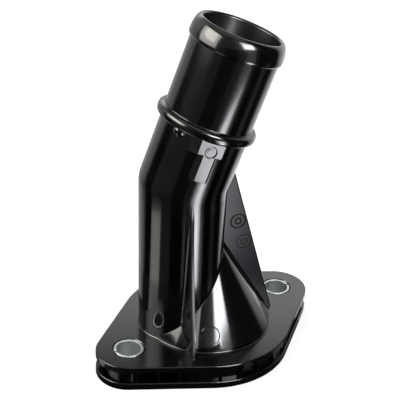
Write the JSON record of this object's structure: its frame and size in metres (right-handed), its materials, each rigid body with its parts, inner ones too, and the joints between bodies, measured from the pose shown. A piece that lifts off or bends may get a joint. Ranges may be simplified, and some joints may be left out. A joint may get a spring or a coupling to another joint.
{
  "type": "thermostat housing",
  "caption": "Coolant outlet housing: moulded flange, flared tube with one bend, beaded hose spout, fin and ribs, steel bolt sleeves and a seal.",
  "frame": {"origin": "middle of the flange's underside, on the line between the two bolts, in the face that seats on the engine", "axes": "+Z away from the engine, along the upright tube; +X from the left bolt to the right bolt; the pipe plane is turned 24 degrees clockwise from +X seen from above"},
  "size_m": [0.0974, 0.065, 0.1301],
  "materials": {
    "nylon": "glossy black moulded nylon",
    "steel": "zinc plated",
    "seal_rubber": "matt"
  },
  "bodies": {
    "root": {"housing": "nylon", "sleeve_left": "steel", "sleeve_right": "steel", "flange_seal": "seal_rubber"}
  },
  "joints": []
}
